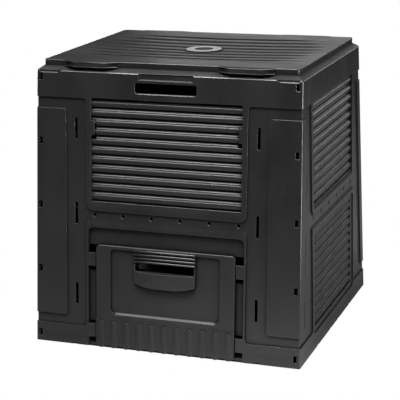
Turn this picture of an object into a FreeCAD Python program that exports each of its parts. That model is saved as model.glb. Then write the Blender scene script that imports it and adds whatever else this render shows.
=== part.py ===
import FreeCAD, Part
import math
import os

# A garden compost bin of moulded panels, with a lift-off lid and a hatch at the front.
# Millimetres. X runs along the front, Y runs from the front to the back, Z is up.
# The origin is under the middle of the bin, on the ground. A depth is measured inwards
# from the outermost face of a wall, so a negative depth stands proud of it.

# Walls. Every wall leans inwards, so the bin is narrower at the top than at the ground.
WALL_HEIGHT = 780.0
WIDTH_BOTTOM = 790.0
WIDTH_TOP = 772.0
DEPTH_BOTTOM = 758.0
DEPTH_TOP = 626.0
SHEET = 3.5
CORNER_RADIUS = 5.0
FAR = 900.0
SPARE = 1.0

# Raised areas of a wall. The sheet between them lies one sheet thickness deeper.
TOP_BAND_BOTTOM = 706.0
BOTTOM_BAND_TOP = 55.0
PAD_SPAN = (84.0, 675.0)
PAD_CORNER = 8.0
FRONT_PAD_FROM = 297.0
SIDE_PAD_WIDTH = 36.0
PLATE_HALF = 236.0
UPPER_PLATE_BOTTOM = 392.0
UPPER_PLATE_CORNER = 22.0
LOWER_PLATE_TOP = 366.0
LOWER_PLATE_CORNER = 16.0
LEDGE_HEIGHT = 14.0
WEB_RADIUS = 11.0

# Rim. Its outer edge is chamfered, and it steps down near the corners for the feet of the lid.
RIM_CHAMFER = 2.2
RIM_STEP = 4.5
RIM_STEP_SPAN = (321.0, 377.0)
RIM_STEP_SLOPE = 11.0

# Louvres. A slat is drawn as depth and height from the gap above it: a leg that leans
# inwards, two round beads on the outside, and a face that leans back to the next gap.
LOUVRE_PITCH = 26.0
SLAT = ((15.5, 11.0), (9.6, -1.8), (7.2, -3.2), (5.0, -5.4), (4.4, -7.4), (4.9, -8.4), (3.6, -9.8),
        (2.6, -12.0), (2.4, -14.0), (3.1, -17.0), (5.4, -22.5), (8.0, -22.4), (5.8, -14.5),
        (6.8, -9.0), (9.8, -4.8), (12.2, -1.8), (18.0, 9.6))
SILL = ((15.5, 11.0), (9.6, -1.8), (6.6, -3.6), (5.0, -9.0), (9.0, -9.0), (12.2, -1.8), (18.0, 9.6))
LOUVRE_LIP = 2.0
UPPER_LOUVRE_TOP = 706.0
UPPER_LOUVRE_COUNT = 11
UPPER_LOUVRE_HALF = 221.0
LOWER_LOUVRE_TOP = 325.5
LOWER_LOUVRE_COUNT = 10
LOWER_LOUVRE_HALF = 205.0
CHEEK = 4.0
CHEEK_TOP = 10.4
CHEEK_DEPTHS = (6.4, 19.2)
STIFFENER = 3.0
STIFFENER_DEPTHS = (11.6, 19.8)
STIFFENER_PLACES = (-110.5, 0.0, 110.5)
BEHIND_SLATS = 22.0
BEAD_HEIGHT = 14.0
BEAD_DEPTH = 3.5

# Small openings in a wall
VENT_HOLE_RADIUS = 4.0
VENT_HOLE_SINK_RADIUS = 7.0
VENT_HOLE_SINK_DEPTH = 2.2
VENT_HOLE_PITCH = 85.0
VENT_HOLE_COUNT = 6
VENT_HOLE_HEIGHT = 380.0
SLOT_PLACE = 267.0
SLOT_WIDTH = 8.5
SLOT_CORNER = 3.5
SLOT_SPANS = ((590.0, 651.0), (350.0, 412.0), (118.0, 181.0))
FRONT_NOTCHES = ((264.0, 280.0),)
SIDE_NOTCHES = ((38.0, 50.0), (178.0, 190.0))
NOTCH_HEIGHT = 5.0

# Corner joints. The front and rear walls turn the corner and end at a seam on the side faces.
SEAM = 58.0
SEAM_GAP = 0.4
SEAM_SLOT = 3.0
SEAM_SLOT_SPANS = ((627.0, 704.0), (452.0, 520.0), (242.0, 354.0), (97.0, 169.0))
LAP_DEPTHS = (7.4, 10.6)
LAP_REACH = 28.0
LAP_ROOT = 14.0
LAP_SPAN = (8.0, 772.0)
HOOK_HEIGHTS = (762.0, 582.0, 400.0, 214.0, 25.0)
HOOK_HALF_HEIGHT = 7.5
HOOK_DEPTH_IN_WINDOW = 2.0
WINDOW_HALF_HEIGHT = 10.0
WINDOW_SPAN = (7.0, 19.0)

# Hand hold in the top band, in thinner sheet, with a recess above it that is open at the rim
HOLD_HALF = 90.0
HOLD_SPAN = (726.5, 755.0)
HOLD_CORNER = 6.0
HOLD_LEDGE = 3.0
THIN_HALF = 104.0
THIN_SPAN = (714.0, 761.0)
RECESS_HALF = 79.0
RECESS_BOTTOM = 764.0
RECESS_LEDGE = 2.0

# Frame of the hatch, and of the vent panels that close the same opening in the other walls
FRAME_HALF = 231.0
FRAME_TOP = 345.0
FRAME_CORNER = 16.0
FRAME_WALL = 3.5
FLOOR_DEPTHS = (7.5, 11.0)
HATCH_OPENING_HALF = 190.0
HATCH_OPENING_SPAN = (22.0, 270.0)
HATCH_OPENING_CORNER = 12.0
TAB_FROM = 209.0
TAB_SPANS = ((234.0, 271.0), (27.0, 66.0))
TAB_WINDOW_FROM = 204.0
TAB_WINDOW_SPANS = ((220.0, 294.0), (10.0, 73.0))
TAB_SHELF = 2.5
PARK_TAB_FROM = 211.0
PARK_TAB_SPAN = (606.0, 646.0)
PARK_WINDOW_FROM = 207.0
PARK_WINDOW_SPAN = (592.0, 648.0)
BEHIND_TAB = 3.6
VENT_FRAME_BOTTOM = 46.0
VENT_CLEARANCE = 0.4
VENT_FRONT = 3.0
VENT_LEDGE = 8.0

# Hatch, which lifts to free its lugs from the tabs of the frame
HATCH_HALF = 206.0
HATCH_SPAN = (6.0, 296.0)
HATCH_CORNER = 12.0
HATCH_ROUNDING = 2.4
HATCH_FRONT = -1.5
HATCH_SHEET = 3.2
HATCH_BACK = 7.2
PANEL_HALF = 163.0
PANEL_SPAN = (104.0, 287.0)
PANEL_CORNER = 12.0
PANEL_FRONT = 3.5
PANEL_SLOPE = 6.0
SKIRT = ((1.7, 87.0), (-1.5, 87.0), (-2.2, 84.0), (-2.2, 6.0), (1.7, 6.0))
SKIRT_RIBS = 11
SKIRT_PITCH = 38.0
SKIRT_RIB_HALF = 9.5
SKIRT_RIB_PROUD = 3.4
SKIRT_RIB_SPAN = (1.5, 78.0)
SKIRT_RIB_CORNER = 6.0
LUG_TO = 224.0
LUG_DEPTHS = (3.9, 7.1)
LUG_CLEAR = 0.4

# Handle, a separate grip set on the hatch: a ribbed plate, a finger slot and a cup below it
HANDLE_HALF = 91.0
HANDLE_TOP = 294.0
HANDLE_BOTTOM = 197.0
HANDLE_BOW = 14.0
HANDLE_PLATE_FRONT = -2.6
HANDLE_RIB_FRONT = -5.2
HANDLE_RIB_HEIGHTS = (258.0, 268.0, 278.0, 288.0)
HANDLE_RIB_HALF = 2.3
HANDLE_SLOT_HALF = 89.0
HANDLE_SLOT_SPAN = (230.5, 255.0)
HANDLE_STRIP = 4.5
CUP = ((3.5, 230.0), (-12.4, 230.0), (-12.8, 225.0), (-12.2, 212.0), (-10.8, 200.0), (-9.0, 192.0),
       (-6.5, 184.5), (3.5, 181.0))
CUP_HOLLOW = ((5.0, 231.0), (-13.0, 231.0), (-9.4, 224.0), (-8.4, 216.0), (-4.6, 209.0), (5.0, 208.0))
CUP_PROUD = 10.2
CUP_WALL = 3.4
FINGER_OPENING_HALF = 88.0
FINGER_OPENING_BOTTOM = 210.0

# Lid: a cap on a sloping flange. Its top is a shallow bowl with long grooves across it.
LID_FLANGE_INSET = 1.5
LID_FLANGE_TOP = 790.0
LID_FLANGE_CORNER = 6.0
LID_FLANGE_DROP = 3.7
LID_CAP_INSETS = (15.0, 18.0)
LID_CAP_TOP = 807.0
LID_CAP_CORNER = 10.0
LID_CAP_EDGE = 2.0
LID_SHEET = 3.2
BOWL_FLOOR = 800.8
BOWL_RADIUS_ACROSS = 4950.0
BOWL_RADIUS_ALONG = 9400.0
BOWL_BLOCK = 40.0
GROOVE_COUNT = 8
GROOVE_PITCH = 52.0
GROOVE_HALF_WIDTH = 6.5
GROOVE_DEPTH = 3.4
GROOVE_RADIUS_ALONG = 6450.0
GROOVE_REACH = 360.0
LOCATING_RIB_INSETS = (8.6, 11.6)
LOCATING_RIB_SPAN = (771.0, 784.0)
LOCATING_RIB_HALF = (140.0, 215.0)
FOOT_INSETS = (1.5, 5.5)
FOOT_CLEARANCE = 0.5
GRIP_PLACE = 226.0
GRIP_BACK_HALF = 81.0
GRIP_FRONT_HALF = 45.0
GRIP_FRONT_INSET = 2.0
GRIP_FRONT_TOP = 804.0
GRIP_BOTTOM = 790.5
GRIP_LIP = 1.5
GRIP_LIP_HEIGHT = 2.5
GRIP_SHEET = 3.2
GRIP_GAP_BOTTOM = 783.6
GRIP_GAP_HALVES = (63.0, 81.5)
GRIP_BACK_BOTTOM = 780.6
BOSS_RADIUS = 53.0
BOSS_INNER_RADIUS = 33.0
BOSS_HEIGHT = 2.5
BOSS_WELL = 0.6
BADGE_RADIUS = 32.6
BADGE_HEIGHT = 1.6
BADGE_RIM = 2.5
BADGE_RIM_HEIGHT = 0.7

LENGTHWAYS = {"front": FreeCAD.Vector(1, 0, 0), "rear": FreeCAD.Vector(1, 0, 0),
              "left": FreeCAD.Vector(0, 1, 0), "right": FreeCAD.Vector(0, 1, 0)}
OUTWARDS = {"front": FreeCAD.Vector(0, -1, 0), "rear": FreeCAD.Vector(0, 1, 0),
            "left": FreeCAD.Vector(-1, 0, 0), "right": FreeCAD.Vector(1, 0, 0)}
UP = FreeCAD.Vector(0, 0, 1)


def half_x(z):
    return (WIDTH_BOTTOM + (WIDTH_TOP - WIDTH_BOTTOM) * z / WALL_HEIGHT) / 2


def half_y(z):
    return (DEPTH_BOTTOM + (DEPTH_TOP - DEPTH_BOTTOM) * z / WALL_HEIGHT) / 2


def reach(wall, z):
    """How far out from the middle the outermost face of a wall lies at a height."""
    return half_y(z) if wall in ("front", "rear") else half_x(z)


def box(x0, x1, y0, y1, z0, z1):
    return Part.makeBox(x1 - x0, y1 - y0, z1 - z0, FreeCAD.Vector(x0, y0, z0))


def centred_box(hx, hy, z0, z1):
    return box(-hx, hx, -hy, hy, z0, z1)


def upright_edges(solid):
    """The edges of a block that climb through its whole height."""
    height = solid.BoundBox.ZLength
    return [e for e in solid.Edges if e.BoundBox.ZLength > height * 0.9]


def six_faced(lower, upper):
    """A solid between two outlines of four corners, counted anticlockwise seen from above."""
    low = [FreeCAD.Vector(*p) for p in lower]
    high = [FreeCAD.Vector(*p) for p in upper]
    faces = [Part.Face(Part.makePolygon(low[::-1] + low[-1:])), Part.Face(Part.makePolygon(high + high[:1]))]
    for i in range(4):
        j = (i + 1) % 4
        faces.append(Part.Face(Part.makePolygon([low[i], low[j], high[j], high[i], low[i]])))
    return Part.Solid(Part.Shell(faces))


def outline_at(x0, x1, y0, y1, z):
    return [(x0, y0, z), (x1, y0, z), (x1, y1, z), (x0, y1, z)]


def tapered(inset, z0=-SPARE, z1=WALL_HEIGHT + SPARE, radius=0.0):
    """The leaning outline of the bin, moved inwards by inset, between two heights."""
    ends = []
    for z in (z0, z1):
        hx, hy = half_x(z) - inset, half_y(z) - inset
        ends.append(outline_at(-hx, hx, -hy, hy, z))
    solid = six_faced(*ends)
    if radius > 0:
        solid = solid.makeFillet(radius, upright_edges(solid))
    return solid


def beyond(wall, inset, z0=-2 * SPARE, z1=WALL_HEIGHT + 2 * SPARE):
    """Everything outside a plane that lies parallel to the front or rear face, inset from it."""
    ends = []
    for z in (z0, z1):
        y0, y1 = half_y(z) - inset, FAR
        if wall == "front":
            y0, y1 = -y1, -y0
        ends.append(outline_at(-FAR, FAR, y0, y1, z))
    return six_faced(*ends)


def rounded_outline(u0, u1, v0, v1, radius):
    """A rectangle with round corners, flat in the XY plane."""
    arcs = []
    middles = ((u1 - radius, v1 - radius, 0), (u0 + radius, v1 - radius, 90),
               (u0 + radius, v0 + radius, 180), (u1 - radius, v0 + radius, 270))
    for u, v, start in middles:
        ends = []
        for turn in (0, 45, 90):
            angle = math.radians(start + turn)
            ends.append(FreeCAD.Vector(u + radius * math.cos(angle), v + radius * math.sin(angle), 0))
        arcs.append(Part.Arc(*ends).toShape())
    edges = []
    for arc, following in zip(arcs, arcs[1:] + arcs[:1]):
        edges.append(arc)
        edges.append(Part.makeLine(arc.Vertexes[-1].Point, following.Vertexes[0].Point))
    return Part.Wire(edges)


def through(wall, wire):
    """A prism of an outline (along the wall, up) from the middle of the bin out past the wall."""
    face = Part.Face(wire)
    face.rotate(FreeCAD.Vector(0, 0, 0), FreeCAD.Vector(1, 0, 0), 90)
    if wall in ("left", "right"):
        face.rotate(FreeCAD.Vector(0, 0, 0), UP, 90)
    return face.extrude(OUTWARDS[wall] * FAR)


def bar(wall, u0, u1, z0, z1, radius=0.0):
    """A block through a wall, between two places along it and two heights."""
    if radius > 0:
        return through(wall, rounded_outline(u0, u1, z0, z1, radius))
    corners = ((u0, z0), (u1, z0), (u1, z1), (u0, z1), (u0, z0))
    return through(wall, Part.makePolygon([FreeCAD.Vector(u, v, 0) for u, v in corners]))


def pair(wall, u0, u1, z0, z1, radius=0.0):
    """The same block on both halves of a wall."""
    return [bar(wall, u0, u1, z0, z1, radius), bar(wall, -u1, -u0, z0, z1, radius)]


def layer(near, far):
    """The space between two depths, all round the bin."""
    return tapered(near).cut(tapered(far, -2 * SPARE, WALL_HEIGHT + 2 * SPARE))


def section_bar(wall, section, u0, u1):
    """A bar along a wall whose cross-section is given as points of depth and height."""
    points = [OUTWARDS[wall] * (reach(wall, z) - depth) + UP * z for depth, z in section]
    face = Part.Face(Part.makePolygon(points + points[:1]))
    face.translate(LENGTHWAYS[wall] * u0)
    return face.extrude(LENGTHWAYS[wall] * (u1 - u0))


def slab(wall, depths, z0, z1, u0, u1):
    """A flat bar along a wall between two depths and two heights."""
    near, far = depths
    return section_bar(wall, ((near, z0), (near, z1), (far, z1), (far, z0)), u0, u1)


def corner_web(wall, u, z, side, up):
    """The small filling that rounds an inner corner between two raised areas."""
    u0, u1 = sorted((u, u + side * WEB_RADIUS))
    z0, z1 = sorted((z, z + up * WEB_RADIUS))
    middle = FreeCAD.Vector(u + side * WEB_RADIUS, z + up * WEB_RADIUS, 0)
    return bar(wall, u0, u1, z0, z1).cut(through(wall, Part.Wire(Part.makeCircle(WEB_RADIUS, middle))))


def bands():
    """The raised bands that run all round the bin at its top and bottom."""
    return [centred_box(FAR, FAR, TOP_BAND_BOTTOM, WALL_HEIGHT), centred_box(FAR, FAR, 0, BOTTOM_BAND_TOP)]


def plates(wall):
    """The two raised plates in the middle of a wall, which carry the louvres and the hatch."""
    areas = [bar(wall, -PLATE_HALF, PLATE_HALF, UPPER_PLATE_BOTTOM, TOP_BAND_BOTTOM + UPPER_PLATE_CORNER,
                 UPPER_PLATE_CORNER),
             bar(wall, -PLATE_HALF, PLATE_HALF, BOTTOM_BAND_TOP - LOWER_PLATE_CORNER, LOWER_PLATE_TOP,
                 LOWER_PLATE_CORNER)]
    for side in (-1, 1):
        areas.append(corner_web(wall, side * PLATE_HALF, TOP_BAND_BOTTOM, side, -1))
        areas.append(corner_web(wall, side * PLATE_HALF, BOTTOM_BAND_TOP, side, 1))
    return areas


def merged(shapes):
    return shapes[0].multiFuse(shapes[1:])


def envelope():
    """The leaning outline of the whole bin, with round corners and a chamfered rim."""
    solid = tapered(0, -SPARE, WALL_HEIGHT, CORNER_RADIUS)
    rim = max(solid.Faces, key=lambda face: face.CenterOfMass.z)
    return solid.makeChamfer(RIM_CHAMFER, rim.Edges)


def blank_wall(region, areas):
    """A wall as one hollow sheet with its raised areas, inside the space that belongs to it."""
    skin = tapered(SHEET).common(region)
    raised = merged(areas).common(envelope()).common(region)
    wall = skin.fuse(raised).cut(tapered(2 * SHEET, -2 * SPARE, WALL_HEIGHT + 2 * SPARE))
    return wall.common(centred_box(FAR, FAR, 0, WALL_HEIGHT))


def louvres(wall, top, count, half):
    """Overlapping slats with cheeks at their ends and stiffeners behind."""
    bottom = top - count * LOUVRE_PITCH
    pieces = []
    for number in range(count):
        height = top - number * LOUVRE_PITCH
        pieces.append(section_bar(wall, [(d, height + z) for d, z in SLAT], -half - SPARE, half + SPARE))
    pieces.append(section_bar(wall, [(d, bottom + z) for d, z in SILL], -half - SPARE, half + SPARE))
    for u0, u1 in ((-half - CHEEK, -half), (half, half + CHEEK)):
        pieces.append(slab(wall, CHEEK_DEPTHS, bottom - CHEEK, top + CHEEK_TOP, u0, u1))
    for place in STIFFENER_PLACES:
        pieces.append(slab(wall, STIFFENER_DEPTHS, bottom + LOUVRE_LIP, top, place - STIFFENER / 2,
                           place + STIFFENER / 2))
    return pieces


def louvre_opening(wall, top, count, half):
    """The opening behind a field of slats, with a sloping lower edge."""
    bottom = top - count * LOUVRE_PITCH - LOUVRE_LIP
    slope = ((-SPARE, bottom - BEAD_HEIGHT), (-SPARE, bottom + SPARE), (BEAD_DEPTH, bottom + SPARE),
             (BEAD_DEPTH, bottom), (0, bottom - BEAD_HEIGHT))
    return [bar(wall, -half, half, bottom, top + LOUVRE_LIP), section_bar(wall, slope, -half, half)]


def ledge_slope(wall):
    """The cutter that slopes the top of the lower plate."""
    top = LOWER_PLATE_TOP
    slope = ((-SPARE, top + SPARE), (SHEET, top + SPARE), (SHEET, top - SPARE), (0, top - LEDGE_HEIGHT),
             (-SPARE, top - LEDGE_HEIGHT))
    return section_bar(wall, slope, -PLATE_HALF - SPARE, PLATE_HALF + SPARE)


def vent_holes(wall):
    """The row of small round holes between the two plates, each with a wide mouth."""
    cutters = []
    surface = reach(wall, VENT_HOLE_HEIGHT) - SHEET
    inwards = OUTWARDS[wall] * -1
    for number in range(VENT_HOLE_COUNT):
        u = (number - (VENT_HOLE_COUNT - 1) / 2) * VENT_HOLE_PITCH
        mouth = OUTWARDS[wall] * (surface + SPARE) + LENGTHWAYS[wall] * u + UP * VENT_HOLE_HEIGHT
        cutters.append(Part.makeCylinder(VENT_HOLE_RADIUS, 4 * SHEET, mouth, inwards))
        spread = (VENT_HOLE_SINK_RADIUS - VENT_HOLE_RADIUS) / VENT_HOLE_SINK_DEPTH
        cutters.append(Part.makeCone(VENT_HOLE_SINK_RADIUS + spread * SPARE, VENT_HOLE_RADIUS,
                                     VENT_HOLE_SINK_DEPTH + SPARE, mouth, inwards))
    return cutters


def long_slots(wall):
    cutters = []
    half = SLOT_WIDTH / 2
    for low, high in SLOT_SPANS:
        cutters += pair(wall, SLOT_PLACE - half, SLOT_PLACE + half, low, high, SLOT_CORNER)
    return cutters


def snap_windows(wall):
    """Five windows beside each corner of a front or rear wall, where the hooks show."""
    cutters = []
    near, far = WINDOW_SPAN
    for height in HOOK_HEIGHTS:
        edge = half_x(height)
        low, high = height - WINDOW_HALF_HEIGHT, height + WINDOW_HALF_HEIGHT
        cutters += pair(wall, edge - far, edge - near, low, high)
    return [c.common(beyond(wall, 3 * SHEET)) for c in cutters]


def rim_step_outlines(clearance, top):
    """The outline of the step in the rim, near both ends of a wall, up to a height."""
    low, high = RIM_STEP_SPAN
    bottom = WALL_HEIGHT - RIM_STEP + clearance
    low, high = low + clearance, high - clearance
    corners = ((low, bottom), (high, bottom), (high, top), (low - RIM_STEP_SLOPE, top),
               (low - RIM_STEP_SLOPE, WALL_HEIGHT + clearance))
    outlines = []
    for side in (-1, 1):
        points = [FreeCAD.Vector(side * u, v, 0) for u, v in corners]
        outlines.append(Part.makePolygon(points + points[:1]))
    return outlines


def rim_steps(wall):
    """The cutters for the steps, and for the chamfer along their outer edge."""
    cutters = [through(wall, outline) for outline in rim_step_outlines(0, WALL_HEIGHT + SPARE)]
    low = WALL_HEIGHT - RIM_STEP
    edge = ((-SPARE, low - RIM_CHAMFER - SPARE), (-SPARE, low + SPARE), (RIM_CHAMFER + SPARE, low + SPARE))
    for u0, u1 in (RIM_STEP_SPAN, (-RIM_STEP_SPAN[1], -RIM_STEP_SPAN[0])):
        cutters.append(section_bar(wall, edge, u0, u1))
    return [c.common(beyond(wall, 3 * SHEET)) for c in cutters]


def strip_between(wall, near, far, z0, z1):
    """The space between two planes parallel to the front or rear face, and two heights."""
    return beyond(wall, far).cut(beyond(wall, near)).common(centred_box(FAR, FAR, z0, z1))


def seam_slots(wall):
    """Parts of the seam that are wide enough to show as a dark line."""
    return [strip_between(wall, SEAM - SEAM_SLOT, SEAM + SPARE, low, high) for low, high in SEAM_SLOT_SPANS]


def notches(wall, spans):
    cutters = []
    for low, high in spans:
        cutters += pair(wall, low, high, -NOTCH_HEIGHT, NOTCH_HEIGHT)
    return cutters


def hand_hold(wall):
    """The hole for a hand, the thinned sheet round it and the recess above it."""
    low, high = HOLD_SPAN
    hole = bar(wall, -HOLD_HALF, HOLD_HALF, low, high, HOLD_CORNER)
    chamfer = ((-SPARE, low - HOLD_LEDGE), (-SPARE, low + SPARE), (HOLD_LEDGE, low + SPARE), (HOLD_LEDGE, low))
    lower_edge = section_bar(wall, chamfer, HOLD_CORNER - HOLD_HALF, HOLD_HALF - HOLD_CORNER)
    thin = bar(wall, -THIN_HALF, THIN_HALF, *THIN_SPAN).common(layer(SHEET, 3 * SHEET))
    low = RECESS_BOTTOM
    recess = section_bar(wall, ((-SPARE, low - RECESS_LEDGE), (-SPARE, FAR), (SHEET, FAR), (SHEET, low),
                                (0, low - RECESS_LEDGE)), -RECESS_HALF, RECESS_HALF)
    return [hole, lower_edge, thin, recess]


def cornered_wall(wall):
    """The front or rear wall up to the seams, before its lower opening is filled."""
    region = beyond(wall, SEAM)
    face_zone = beyond(wall, 2 * SHEET + SPARE)
    low, high = PAD_SPAN
    on_face = plates(wall) + pair(wall, FRONT_PAD_FROM, FAR, low, high, PAD_CORNER)
    round_corner = beyond(wall, SIDE_PAD_WIDTH).cut(centred_box(half_x(high) - SHEET - SPARE, FAR, -FAR, FAR))
    areas = bands() + [merged(on_face).common(face_zone), round_corner.common(centred_box(FAR, FAR, low, high))]
    blank = blank_wall(region, areas)
    cutters = louvre_opening(wall, UPPER_LOUVRE_TOP, UPPER_LOUVRE_COUNT, UPPER_LOUVRE_HALF)
    cutters += [ledge_slope(wall)] + vent_holes(wall) + snap_windows(wall) + rim_steps(wall)
    cutters += notches(wall, FRONT_NOTCHES) + hand_hold(wall) + seam_slots(wall)
    return blank.cut(cutters), louvres(wall, UPPER_LOUVRE_TOP, UPPER_LOUVRE_COUNT, UPPER_LOUVRE_HALF)


def frame_ring(wall, bottom, opening):
    """The rebated frame of a lower opening: a floor behind the plate, walls round it and an opening."""
    outer = FRAME_HALF + FRAME_WALL
    lowest = max(bottom - FRAME_WALL, 0)
    ring = bar(wall, -outer, outer, lowest, FRAME_TOP + FRAME_WALL)
    below = 2 * FRAME_CORNER if bottom == 0 else 0
    inside = bar(wall, -FRAME_HALF, FRAME_HALF, bottom - below, FRAME_TOP, FRAME_CORNER)
    walls = ring.cut(inside).common(layer(0, FLOOR_DEPTHS[1]))
    floor = ring.cut(opening).common(layer(*FLOOR_DEPTHS))
    return inside, [walls, floor]


def retaining_tabs(wall):
    """Tabs that hold the lugs of the hatch, each with a shelf under the lug."""
    pieces = []
    for low, high in TAB_SPANS:
        for side in (-1, 1):
            u0, u1 = sorted((side * TAB_FROM, side * (FRAME_HALF + SPARE)))
            pieces.append(slab(wall, (0, SHEET), low, high, u0, u1))
            pieces.append(slab(wall, (0, FLOOR_DEPTHS[0]), low, low + TAB_SHELF, u0, u1))
    return pieces


def tab_windows(wall):
    """Windows in the floor of the frame behind the tabs."""
    cutters = []
    for low, high in TAB_WINDOW_SPANS:
        cutters += pair(wall, TAB_WINDOW_FROM, FRAME_HALF - SPARE, low, high)
    return cutters


def front_wall():
    blank, slats = cornered_wall("front")
    blank = blank.cut(long_slots("front"))
    low, high = HATCH_OPENING_SPAN
    opening = bar("front", -HATCH_OPENING_HALF, HATCH_OPENING_HALF, low, high, HATCH_OPENING_CORNER)
    inside, ring = frame_ring("front", 0, merged([opening] + tab_windows("front")))
    blank = blank.cut(inside)
    low, high = PARK_WINDOW_SPAN
    behind = [c.common(layer(BEHIND_TAB, BEHIND_SLATS)) for c in
              pair("front", PARK_WINDOW_FROM, UPPER_LOUVRE_HALF, low, high)]
    slats = merged(slats).cut(behind)
    low, high = PARK_TAB_SPAN
    park = [slab("front", (0, SHEET), low, high, PARK_TAB_FROM, UPPER_LOUVRE_HALF + SPARE),
            slab("front", (0, SHEET), low, high, -UPPER_LOUVRE_HALF - SPARE, -PARK_TAB_FROM)]
    return merged([blank, slats] + ring + retaining_tabs("front") + park)


def vent_frame(wall):
    """The frame that a vent panel sits in, with a ledge behind it."""
    inner = FRAME_HALF - VENT_LEDGE
    opening = bar(wall, -inner, inner, VENT_FRAME_BOTTOM + VENT_LEDGE, FRAME_TOP - VENT_LEDGE)
    return frame_ring(wall, VENT_FRAME_BOTTOM, opening)


def rear_wall():
    blank, slats = cornered_wall("rear")
    inside, ring = vent_frame("rear")
    return merged([blank.cut(inside)] + slats + ring)


def side_layer(wall, near, far):
    """The space between two planes parallel to a side face."""
    sign = 1 if wall == "right" else -1
    ends = []
    for z in (-SPARE, WALL_HEIGHT + SPARE):
        x0, x1 = sorted((sign * (half_x(z) - near), sign * (half_x(z) - far)))
        ends.append(outline_at(x0, x1, -FAR, FAR, z))
    return six_faced(*ends)


def laps(wall):
    """The strips of a side wall behind the corners, with their roots and hooks."""
    near, far = LAP_DEPTHS
    strip = side_layer(wall, near, far)
    root = side_layer(wall, SHEET, far)
    pieces = []
    for end in ("front", "rear"):
        pieces.append(strip.common(strip_between(end, LAP_REACH, SEAM + LAP_ROOT, *LAP_SPAN)))
        pieces.append(root.common(strip_between(end, SEAM + SEAM_GAP, SEAM + LAP_ROOT, *LAP_SPAN)))
        for height in HOOK_HEIGHTS:
            low, high = height - HOOK_HALF_HEIGHT, height + HOOK_HALF_HEIGHT
            pieces.append(strip.common(strip_between(end, HOOK_DEPTH_IN_WINDOW, SEAM + LAP_ROOT, low, high)))
    return pieces


def side_wall(wall):
    middle = centred_box(FAR, FAR, -SPARE, WALL_HEIGHT + SPARE)
    for end in ("front", "rear"):
        middle = middle.cut(beyond(end, SEAM + SEAM_GAP))
    half = side_layer(wall, -SPARE, half_x(0))
    blank = blank_wall(middle.common(half), bands() + plates(wall))
    cutters = louvre_opening(wall, UPPER_LOUVRE_TOP, UPPER_LOUVRE_COUNT, UPPER_LOUVRE_HALF)
    cutters += [ledge_slope(wall)] + vent_holes(wall) + notches(wall, SIDE_NOTCHES)
    inside, ring = vent_frame(wall)
    blank = blank.cut(cutters + [inside])
    slats = louvres(wall, UPPER_LOUVRE_TOP, UPPER_LOUVRE_COUNT, UPPER_LOUVRE_HALF)
    return merged([blank] + slats + ring + laps(wall))


def vent_panel(wall):
    """A louvred panel that closes the lower opening of a wall without a hatch."""
    half = FRAME_HALF - VENT_CLEARANCE
    low, high = VENT_FRAME_BOTTOM + VENT_CLEARANCE, FRAME_TOP - VENT_CLEARANCE
    border = bar(wall, -half, half, low, high, FRAME_CORNER).common(layer(VENT_FRONT, FLOOR_DEPTHS[0]))
    opening = louvre_opening(wall, LOWER_LOUVRE_TOP, LOWER_LOUVRE_COUNT, LOWER_LOUVRE_HALF)
    slats = louvres(wall, LOWER_LOUVRE_TOP, LOWER_LOUVRE_COUNT, LOWER_LOUVRE_HALF)
    return merged([border.cut(opening)] + slats)


def hatch_tray():
    """The hollow front of the hatch, with its sunk panel."""
    low, high = HATCH_SPAN
    outside = bar("front", -HATCH_HALF, HATCH_HALF, low, high, HATCH_CORNER)
    tray = outside.common(layer(HATCH_FRONT, HATCH_BACK))
    front_face = min(tray.Faces, key=lambda face: face.CenterOfMass.y)
    tray = tray.makeFillet(HATCH_ROUNDING, front_face.Edges)
    edge = HATCH_SHEET
    hollow = bar("front", edge - HATCH_HALF, HATCH_HALF - edge, low + edge, high - edge, HATCH_CORNER - edge)
    low, high = PANEL_SPAN
    behind_panel = bar("front", -PANEL_HALF - edge, PANEL_HALF + edge, low - PANEL_SLOPE - edge, high + edge)
    cavity = hollow.common(layer(HATCH_FRONT + edge, HATCH_BACK + SPARE))
    cavity = cavity.cut(behind_panel.common(layer(HATCH_FRONT, PANEL_FRONT + edge)))
    sunk = bar("front", -PANEL_HALF, PANEL_HALF, low, high, PANEL_CORNER).common(
        layer(HATCH_FRONT - SPARE, PANEL_FRONT))
    front = HATCH_FRONT - SPARE
    slope = section_bar("front", ((front, low - PANEL_SLOPE), (front, low + SPARE), (PANEL_FRONT, low + SPARE),
                                  (PANEL_FRONT, low), (HATCH_FRONT, low - PANEL_SLOPE)),
                        PANEL_CORNER - PANEL_HALF, PANEL_HALF - PANEL_CORNER)
    return tray.cut([cavity, sunk, slope])


def bulge(u, half, proud, depth):
    """A leaning round pillar that stands proud of a depth by the same amount at every height."""
    radius = (half ** 2 + proud ** 2) / (2 * proud)
    foot = FreeCAD.Vector(u, depth - proud + radius - half_y(0), 0)
    lean = FreeCAD.Vector(0, half_y(0) - half_y(WALL_HEIGHT), WALL_HEIGHT)
    return Part.makeCylinder(radius, WALL_HEIGHT, foot, lean)


def hatch_skirt():
    """The lower edge of the hatch: a low ledge, and below it upright round ribs."""
    pieces = [section_bar("front", SKIRT, -HATCH_HALF, HATCH_HALF)]
    base = SKIRT[2][0]
    front_only = layer(HATCH_FRONT - 3 * SHEET, base + SPARE)
    low, high = SKIRT_RIB_SPAN
    for number in range(SKIRT_RIBS):
        u = (number - (SKIRT_RIBS - 1) / 2) * SKIRT_PITCH
        zone = bar("front", u - SKIRT_RIB_HALF, u + SKIRT_RIB_HALF, low, high, SKIRT_RIB_CORNER)
        pieces.append(bulge(u, SKIRT_RIB_HALF, SKIRT_RIB_PROUD, base).common(zone).common(front_only))
    return pieces


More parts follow.
